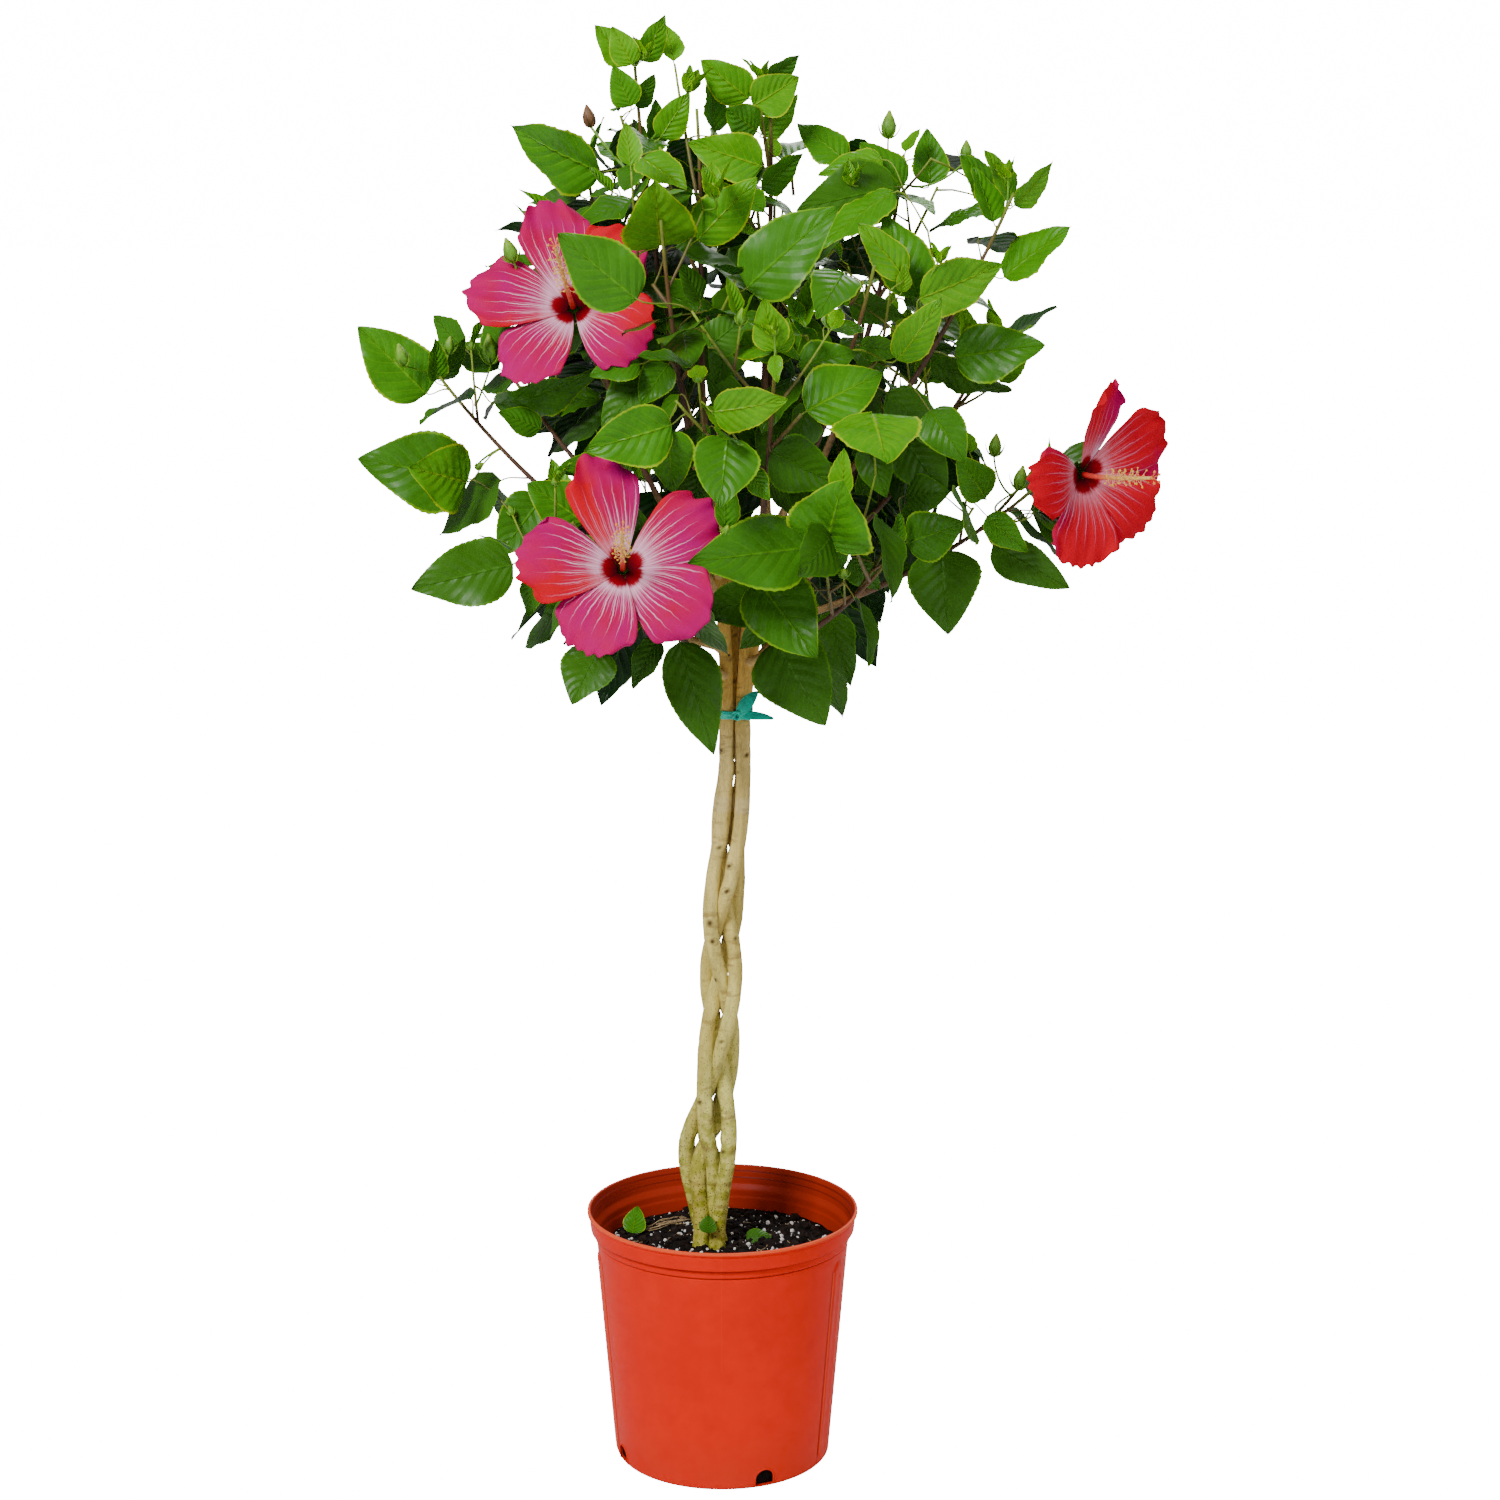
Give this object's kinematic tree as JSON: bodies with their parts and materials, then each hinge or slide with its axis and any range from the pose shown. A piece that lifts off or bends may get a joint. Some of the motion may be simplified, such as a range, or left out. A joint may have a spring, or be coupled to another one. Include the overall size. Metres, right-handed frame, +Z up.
{
  "type": "potted braided hibiscus standard",
  "caption": "Small flowering hibiscus tree: a braided stem carries an open round crown of leaves and large open flowers, in a tapered nursery pot.",
  "frame": {"origin": "centre of the pot's flat underside", "axes": "+Z up along the pot and stem, -Y towards the viewer of the picture, +X to their right"},
  "size_m": [0.7214, 0.6075, 1.3385],
  "materials": {
    "terracotta": "terracotta-orange moulded plastic with a soft sheen",
    "potting_mix": "near-black peat and bark mix with white specks of perlite",
    "bark": "beige to greenish-tan bark with knots and fissures",
    "bough": "young tan to brown bark",
    "tape": "teal-green stretch tape",
    "leaf": "glossy leaves, dark green low and inside, lime at the shoot tips",
    "petal": "hot pink to red ruffled petals with a dark crimson eye and a peach column"
  },
  "bodies": {
    "root": {"pot": "terracotta", "potting_mix": "potting_mix", "stem_1": "bark", "stem_2": "bark", "stem_3": "bark", "stem_4": "bark", "tie": "tape", "bough_top_left": "bough", "bough_top_middle": "bough", "bough_top_right": "bough", "bough_upper_right": "bough", "bough_right_long": "bough", "bough_right_side": "bough", "bough_right_low": "bough", "bough_front_right_high": "bough", "bough_front_middle": "bough", "bough_front_left_high": "bough", "bough_left_bloom": "bough", "bough_left_long": "bough", "bough_left_upper": "bough", "bough_upper_left": "bough", "bough_left_low": "bough", "bough_front_left_low": "bough", "bough_front_right_low": "bough", "bough_back_high": "bough", "bough_back_left": "bough", "bough_back_right": "bough", "bough_back_left_low": "bough", "bough_back_right_low": "bough", "bloom_upper_left": "petal", "bloom_front": "petal", "bloom_right": "petal", "foliage_top_left": "leaf", "foliage_top_middle": "leaf", "foliage_top_right": "leaf", "foliage_upper_right": "leaf", "foliage_right_long": "leaf", "foliage_right_side": "leaf", "foliage_right_low": "leaf", "foliage_front_right_high": "leaf", "foliage_front_middle": "leaf", "foliage_front_left_high": "leaf", "foliage_left_bloom": "leaf", "foliage_left_long": "leaf", "foliage_left_upper": "leaf", "foliage_upper_left": "leaf", "foliage_left_low": "leaf", "foliage_front_left_low": "leaf", "foliage_front_right_low": "leaf", "foliage_back_high": "leaf", "foliage_back_left": "leaf", "foliage_back_right": "leaf", "foliage_back_left_low": "leaf", "foliage_back_right_low": "leaf"}
  },
  "joints": []
}
